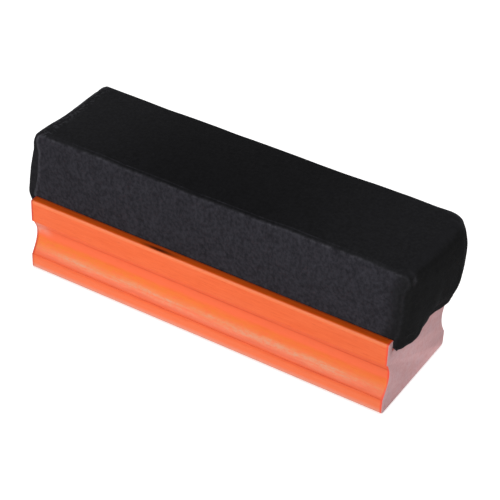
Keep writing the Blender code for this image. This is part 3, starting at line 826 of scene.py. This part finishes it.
def wrinkle_rows(rows, ring):
    """Tucks at the corners where the cloth is folded like a parcel, soft wrinkles, and lumps along the rims.
    Also returns how much each point takes the darker end tone, which is partly painted shade, and how pale it
    is painted on crests and rims, partly as wear and partly as highlight and sheen."""
    front_left = CORNER_COLUMNS // 2
    front_right = front_left + LONG_COLUMNS
    back_right = front_right + 2 * CORNER_COLUMNS + ACROSS_COLUMNS
    back_left = back_right + LONG_COLUMNS
    corners = (
        (front_left, -1, FRONT_LEFT_TUCKS), (front_right, 1, FRONT_RIGHT_TUCKS),
        (back_right, -1, BACK_RIGHT_TUCKS), (back_left, 1, BACK_LEFT_TUCKS))
    shaded_end_share = np.repeat(ring.turn[None], len(rows), axis=0)
    crest = np.zeros(shaded_end_share.shape)
    on_end = smooth_step((ring.turn - 0.5) / 0.5)
    for index, row in enumerate(rows[:EDGE_ROWS + WALL_ROWS + 6]):
        out, past = around(row)
        x, y, z = row.T
        height = z - LIP_TOP
        below_top = smooth_step((TOP - z) / (5 * MM))
        above_lip = smooth_step((height + 4.2 * MM) / (5 * MM))
        move = np.zeros(len(row))
        for column, way, tucks in corners:
            uneven = 0.75 + 0.35 * grain(x, y, z, (9, 9, 4), column)
            for line, ridge, groove, width, wear in tucks:
                off = past(column, way) - through(line, height)
                move += pleat(off, ridge * MM, groove * MM, width * MM) * uneven
                crest[index] += bell(off / (width * MM)) * ridge * wear * uneven
        move *= lerp(0.35, 1.0, below_top) * above_lip

        low = smooth_step((18 * MM - height) / (16 * MM))
        move += on_end * grain(x, y, z, (9, 4.2, 22), 3.0) * lerp(0.12, 0.42, low) * MM * below_top
        move += 0.2 * MM * grain(x, y, z, (22, 30, 13), 8.0) * below_top * above_lip
        move += 0.05 * MM * grain(x, y, z, (3.2, 3.2, 3.2), 5.0) * above_lip
        row[:, :2] += out * move[:, None]
        if index < EDGE_ROWS:
            rim = math.sin(math.pi * index / EDGE_ROWS) * 0.2 * MM
            row[:, 2] += on_end * rim * grain(x, y, z, (2.6, 2.6, 2.6), 6.0)
            height = z - LIP_TOP

        # The lighter long side gives way to the darker end at the tucks; that darker tone is partly painted
        # shade, and before the front right tuck it starts early
        left_of_tuck = past(front_left, -1) - through(FRONT_LEFT_TUCKS[0][0], height)
        at_left = smooth_step((left_of_tuck - 0.2 * MM) / (0.7 * MM))
        at_left *= lerp(0.6, 1.0, smooth_step((left_of_tuck - 6 * MM) / (3 * MM)))
        right_of_tuck = past(front_right, 1) - through(FRONT_RIGHT_TUCKS[1][0], height)
        at_right = 0.85 * smooth_step((right_of_tuck + 7.0 * MM) / (6.5 * MM))
        at_right += 0.15 * smooth_step((right_of_tuck - 0.2 * MM) / (1.0 * MM))
        at_back = smooth_step(np.where(ring.sign_x > 0, past(back_right, -1), past(back_left, 1)) / (2 * MM))
        at_front = np.where(ring.sign_x > 0, at_right, at_left)
        shaded_end_share[index] = np.where(ring.sign_y > 0, at_back, at_front)

        # A dog-ear on the front right corner, and lumps along the rims, painted pale partly as wear and
        # partly as highlight and sheen
        dog_ear = bell((right_of_tuck - 3.2 * MM) / (1.1 * MM)) * bell((TOP - 2.8 * MM - z) / (1.8 * MM))
        dog_ear *= (ring.sign_x > 0) * (ring.sign_y < 0)
        row[:, :2] += out * (0.2 * MM * dog_ear)[:, None]
        crest[index] += 0.35 * dog_ear
        if index < EDGE_ROWS + 1:
            wear_and_sheen = 0.4 + 0.8 * grain(x, y, z, (2.4, 2.4, 2.4), 11.0)
            on_left = on_end * (ring.sign_x < 0) * bell((index - 1) / 1.8)
            on_side = (1 - on_end) * bell((index - 5) / 1.5) * 0.6
            crest[index] += (1.5 * on_left + on_side) * np.clip(wear_and_sheen, 0, 1)
    return rows, shaded_end_share, crest


def patch(ring_points, on_top=False):
    """A grid that fills a ring: [along, across] points whose border is the ring. On top, it takes the top's
    own height."""
    along, across = LONG_COLUMNS + CORNER_COLUMNS, ACROSS_COLUMNS + CORNER_COLUMNS
    front = ring_points[:along + 1]
    right = ring_points[along:along + across + 1]
    back = ring_points[along + across:2 * along + across + 1][::-1]
    left = np.vstack((ring_points[2 * along + across:], ring_points[:1]))[::-1]
    u = np.linspace(0, 1, along + 1)[:, None, None]
    v = np.linspace(0, 1, across + 1)[None, :, None]
    grid = lerp(front[:, None], back[:, None], v) + lerp(left[None], right[None], u)
    grid = grid - lerp(lerp(front[0], front[-1], u), lerp(back[0], back[-1], u), v)
    if on_top:
        grid[1:-1, 1:-1, 2] = TOP + top_height(grid[1:-1, 1:-1, 0], grid[1:-1, 1:-1, 1])
    return grid


def pad_solid(rows, top):
    """A coarse closed solid with the pad's outer shape, ENLARGED to the cloth solver's usual range."""
    outer = rows[:EDGE_ROWS + WALL_ROWS]
    mesh = cover_mesh(outer, top, patch(outer[-1]))
    mesh.transform(Matrix.Scale(ENLARGED, 4))
    pad = add_object("pad_solid", mesh)
    remesh = pad.modifiers.new("even", "REMESH")
    remesh.mode = "VOXEL"
    remesh.voxel_size = VOXEL * ENLARGED
    coarse = bpy.data.meshes.new_from_object(pad.evaluated_get(bpy.context.evaluated_depsgraph_get()))
    pad.modifiers.clear()
    pad.data = coarse
    bpy.data.meshes.remove(mesh)
    return pad


def settle(pad):
    """Blows the coarse pad up as cloth. Returns its rest positions, polygons and each vertex's movement."""
    pinned = pad.vertex_groups.new(name="pinned")
    for vertex in pad.data.vertices:
        weight = float(1 - smooth_step((vertex.co.z / ENLARGED - LIP_TOP) / (5 * MM)))
        pinned.add([vertex.index], weight, "REPLACE")
    cloth = pad.modifiers.new("cloth", "CLOTH")
    cloth.settings.vertex_group_mass = "pinned"
    cloth.settings.quality = 5
    cloth.settings.tension_stiffness = cloth.settings.compression_stiffness = 25
    cloth.settings.bending_stiffness = 0.4
    cloth.settings.shrink_min = -SLACK
    cloth.settings.use_pressure = True
    cloth.settings.uniform_pressure_force = 4
    cloth.settings.effector_weights.gravity = 0
    cloth.collision_settings.use_collision = False
    cloth.point_cache.frame_end = SETTLE_FRAMES
    rest = np.array([vertex.co for vertex in pad.data.vertices])
    for step in range(1, SETTLE_FRAMES + 1):
        bpy.context.scene.frame_set(step)
    blown = pad.evaluated_get(bpy.context.evaluated_depsgraph_get()).to_mesh()
    moved = (np.array([vertex.co for vertex in blown.vertices]) - rest) / ENLARGED
    bpy.context.scene.frame_set(1)
    polygons = [tuple(polygon.vertices) for polygon in pad.data.polygons]
    bpy.data.objects.remove(pad)
    rest = rest / ENLARGED
    for axis, origin in enumerate((0.0, 0.0, LIP_TOP)):
        # Takes away the part that only makes the pad bigger
        place = rest[:, axis] - origin
        moved[:, axis] -= place * (moved[:, axis] @ place) / (place @ place)
    return rest, polygons, evened(moved, polygons)


def evened(moved, polygons):
    """Evens out each vertex's movement with its neighbours', so that no ridge forms beside the rims."""
    pairs = np.array([(p[i - 1], p[i]) for p in polygons for i in range(len(p))])
    pairs = np.vstack((pairs, pairs[:, ::-1]))
    count = np.bincount(pairs[:, 0], minlength=len(moved))[:, None]
    for _ in range(CALMING):
        total = np.zeros(moved.shape)
        np.add.at(total, pairs[:, 0], moved[pairs[:, 1]])
        moved = 0.5 * moved + 0.5 * total / count
    return moved


def follow(points, rest, polygons, moved):
    """Moves points as the nearest place on the coarse pad moved, by at most MOST_SETTLED."""
    tree = BVHTree.FromPolygons([Vector(p) for p in rest], polygons)
    flat = points.reshape(-1, 3)
    shift = np.zeros(flat.shape)
    for i, point in enumerate(flat):
        place, _, polygon, _ = tree.find_nearest(Vector(point))
        corners = list(polygons[polygon])
        weights = poly_3d_calc([Vector(rest[c]) for c in corners], place)
        shift[i] = np.array(weights) @ moved[corners]
    shift *= MOST_SETTLED / max(np.linalg.norm(shift, axis=1).max(), MOST_SETTLED)
    shift *= smooth_step((flat[:, 2:] - LIP_TOP + 1.2 * MM) / (5 * MM))
    return (flat + shift).reshape(points.shape)


def clear_of_foam(points):
    """Pushes outer points that come too near the foam outward, so that the cloth keeps some thickness."""
    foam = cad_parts["foam_core"].data
    tree = BVHTree.FromPolygons([v.co for v in foam.vertices], [tuple(p.vertices) for p in foam.polygons])
    flat = points.reshape(-1, 3)
    for i, point in enumerate(flat):
        if point[2] < FOAM_LOW.z:
            continue
        place, normal, _, _ = tree.find_nearest(Vector(point), 3 * MM)
        if place is not None:
            depth = LEAST_COVER - (Vector(point) - place).dot(normal)
            if depth > 0:
                flat[i] += np.array(normal) * depth
    return flat.reshape(points.shape)


def cover_mesh(rows, top, inner_top):
    """One closed skin: rows of rings, joined by a grid across the top and a grid under it."""
    count = rows.shape[1]
    index = np.arange(rows.shape[0] * count).reshape(rows.shape[:2])
    after = np.roll(index, -1, axis=1)
    faces = [np.stack((index[:-1], index[1:], after[1:], after[:-1]), axis=-1).reshape(-1, 4)]
    points = [rows.reshape(-1, 3)]
    size = rows.shape[0] * count
    along, across = top.shape[0] - 1, top.shape[1] - 1
    for grid, ring_index, flip in ((top, index[0], False), (inner_top, index[-1], True)):
        ids = np.zeros(grid.shape[:2], int)
        ids[:, 0] = ring_index[:along + 1]
        ids[-1, :] = ring_index[along:along + across + 1]
        ids[:, -1] = ring_index[along + across:2 * along + across + 1][::-1]
        ids[0, :] = np.append(ring_index[2 * along + across:], ring_index[0])[::-1]
        inner = grid[1:-1, 1:-1]
        ids[1:-1, 1:-1] = size + np.arange(inner.shape[0] * inner.shape[1]).reshape(inner.shape[:2])
        size += inner.shape[0] * inner.shape[1]
        points.append(inner.reshape(-1, 3))
        quads = np.stack((ids[:-1, :-1], ids[1:, :-1], ids[1:, 1:], ids[:-1, 1:]), axis=-1).reshape(-1, 4)
        faces.append(quads[:, ::-1] if flip else quads)
    mesh = bpy.data.meshes.new("cloth_pad")
    mesh.from_pydata(np.vstack(points).tolist(), [], np.vstack(faces).tolist())
    mesh.update()
    face_outward(mesh)
    return mesh


def pile_cloth_material():
    """Short black pile. Its lay differs by panel, and the ends carry painted shade as well, so the long sides
    look lighter than the ends.
    """
    n = Nodes("pile_cloth")
    place = n.place()
    x, y, _ = n.axes(place)
    up = n.axes(n.facing())[2]
    upward = n.ramp(up, 0.5, 0.85)
    shaded_end_share, crest = n.kept("shaded_end_share"), n.kept("crest")
    pile = n.noise(n.scaled(place, (1, 1, 0.55)), 2300.0, detail=3.0, roughness=0.75)
    tufts = n.noise(n.scaled(place, (1, 1, 0.75)), 850.0, detail=4.0, roughness=0.65)
    brushed = n.noise(n.scaled(place, (1, 1, 0.6)), 210.0, detail=4.0, roughness=0.6, distortion=0.8)

    # Panel tones: the ends and the top are darker than the long sides, partly their lay and partly painted
    # shade; the top is painted lighter towards its ends as a painted sheen
    side, top, end = (0.0258, 0.0248, 0.0304), (0.0172, 0.0172, 0.0192), (0.0096, 0.0096, 0.0099)
    top = n.shade(top, n.ramp(n.math("ABSOLUTE", x), 15 * MM, 66 * MM, 0.62, 1.12))
    colour = n.mix(n.ramp(up, 0.4, 0.9), n.mix(shaded_end_share, side, end), top)
    mottle = n.plus(n.ramp(tufts, 0.3, 0.7, -0.32, 0.32), n.ramp(brushed, 0.35, 0.7, -0.08, 0.10))
    calm = n.times(n.ramp(upward, 0.0, 1.0, 1.0, 0.6), n.ramp(shaded_end_share, 0.0, 1.0, 1.0, 0.45))
    colour = n.shade(colour, n.plus(n.times(mottle, calm), 1.0))

    # Pale on the folds' crests and on lumps along the rims, partly rubbed wear and partly a painted highlight
    # and sheen; painted sheen on lumps by the left rim and along the far rim
    wear_and_sheen = n.times(crest, n.ramp(tufts, 0.35, 0.6, 0.3, 0.9))
    colour = n.mix(wear_and_sheen, colour, (0.078, 0.076, 0.088))
    lumps = n.ramp(n.noise(place, 900.0, detail=2.0), 0.50, 0.62, 0.0, 0.7)
    border = n.times(n.ramp(x, -64.5 * MM, -67.5 * MM), upward, lumps)
    colour = n.mix(border, colour, (0.066, 0.066, 0.075))
    far_rim_sheen = n.ramp(y, BACK_HALF_WIDTH - 2.6 * MM, BACK_HALF_WIDTH - 1.2 * MM, 0.0, 0.4)
    colour = n.mix(n.times(far_rim_sheen, upward), colour, (0.060, 0.060, 0.068))

    # Sparse pale flecks of dust
    fleck = n.cells(place, 240.0)
    rare = n.math("GREATER_THAN", n.axes(fleck.outputs["Color"])[0], 0.978)
    near = n.ramp(fleck.outputs["Distance"], 0.05, 0.13, 1.0, 0.0)
    dust = n.times(near, rare, n.ramp(upward, 0.0, 1.0, 0.8, 0.15))
    colour = n.mix(dust, colour, (0.06, 0.06, 0.065))
    n.set(Base_Color=colour, Roughness=0.95, Specular_IOR_Level=0.04)
    n.set(Sheen_Weight=0.05, Sheen_Roughness=0.28, Sheen_Tint=(0.8, 0.82, 0.9))
    relief = n.plus(n.times(pile, 0.55), n.times(tufts, 0.9))
    n.set(Normal=n.bump(relief, 0.3 * MM, 0.75))
    return n.material


def foam_material():
    """Open-cell foam: pale yellow grey with pores."""
    n = Nodes("foam")
    place = n.place()
    cells = n.cells(place, 1400.0).outputs["Distance"]
    cloudy = n.noise(place, 90.0, detail=4.0)
    colour = n.mix(n.ramp(cloudy, 0.3, 0.7), (0.66, 0.63, 0.53), (0.56, 0.53, 0.43))
    colour = n.mix(n.ramp(cells, 0.15, 0.45, 0.0, 0.6), colour, (0.40, 0.37, 0.29))
    n.set(Base_Color=colour, Roughness=0.95, Normal=n.bump(cells, 0.3 * MM, 0.8))
    return n.material


def hardboard_material():
    """Pressed brown fibres, smooth on the face."""
    n = Nodes("hardboard")
    place = n.place()
    fibres = n.noise(n.scaled(place, (300, 900, 900)), 1.0, detail=5.0, roughness=0.7, distortion=1.2)
    cloudy = n.noise(place, 60.0, detail=3.0)
    colour = n.mix(n.ramp(fibres, 0.3, 0.7), (0.27, 0.145, 0.072), (0.40, 0.235, 0.125))
    colour = n.mix(n.ramp(cloudy, 0.4, 0.7, 0.0, 0.4), colour, (0.22, 0.12, 0.06))
    n.set(Base_Color=colour, Roughness=0.75, Normal=n.bump(fibres, 0.05 * MM, 0.5))
    return n.material


def staple_material():
    """Zinc-coated flat wire with drawing lines."""
    n = Nodes("staple_wire")
    place = n.place()
    drawn = n.noise(n.scaled(place, (200, 5000, 5000)), 1.0, detail=3.0)
    tone = n.mix(n.ramp(drawn, 0.35, 0.65), (0.55, 0.55, 0.57), (0.70, 0.70, 0.72))
    n.set(Base_Color=tone, Metallic=1.0, Roughness=n.ramp(drawn, 0.3, 0.7, 0.28, 0.42))
    n.set(Normal=n.bump(drawn, 0.01 * MM, 0.5))
    return n.material


def glue_material():
    """Dried wood glue: cream, a little glassy, with bubbles."""
    n = Nodes("glue")
    place = n.place()
    bubbles = n.cells(place, 900.0).outputs["Distance"]
    cloudy = n.noise(place, 160.0, detail=4.0)
    colour = n.mix(n.ramp(cloudy, 0.3, 0.7), (0.84, 0.77, 0.58), (0.74, 0.64, 0.42))
    n.set(Base_Color=colour, Roughness=n.ramp(cloudy, 0.3, 0.7, 0.3, 0.5))
    n.set(Normal=n.bump(n.ramp(bubbles, 0.0, 0.25), 0.06 * MM, 0.6))
    return n.material


def dress_inner_parts():
    """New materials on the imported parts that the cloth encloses."""
    surfaces = (
        ("foam_core", foam_material()), ("backing_board", hardboard_material()),
        ("glue_bead", glue_material()), ("staple_", staple_material()))
    for name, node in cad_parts.items():
        for start, surface in surfaces:
            if name.startswith(start):
                node.data.materials.clear()
                node.data.materials.append(surface)


def add_cover():
    """The cloth skin: its folded outer face, settled as cloth, and its plain inner face."""
    ring = Ring()
    rows, shaded_end_share, crest = wrinkle_rows(shape_rows(outer_rows(ring), ring), ring)
    inside = np.array(inner_rows(ring))
    top = patch(rows[0], on_top=True)
    blown = settle(pad_solid(rows, top))
    inward = EDGE_ROWS + WALL_ROWS
    rows[:inward] = follow(rows[:inward], *blown)
    top = follow(top, *blown)
    rows, top = clear_of_foam(rows), clear_of_foam(top)
    inner_top = patch(inside[-1])
    mesh = cover_mesh(np.vstack((rows, inside)), top, inner_top)
    for name, values in (("shaded_end_share", shaded_end_share), ("crest", crest)):
        filled = np.zeros(len(mesh.vertices))
        filled[:values.size] = values.ravel()
        mesh.attributes.new(name, "FLOAT", "POINT").data.foreach_set("value", filled)
    mesh.shade_smooth()
    piece = new_piece("cloth_pad", mesh, pile_cloth_material())
    smooth = piece.modifiers.new("soft", "SUBSURF")
    smooth.levels = smooth.render_levels = 1
    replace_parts(piece, "cloth_cover")


add_camera()
add_stage()
add_handle()
add_cover()
dress_inner_parts()
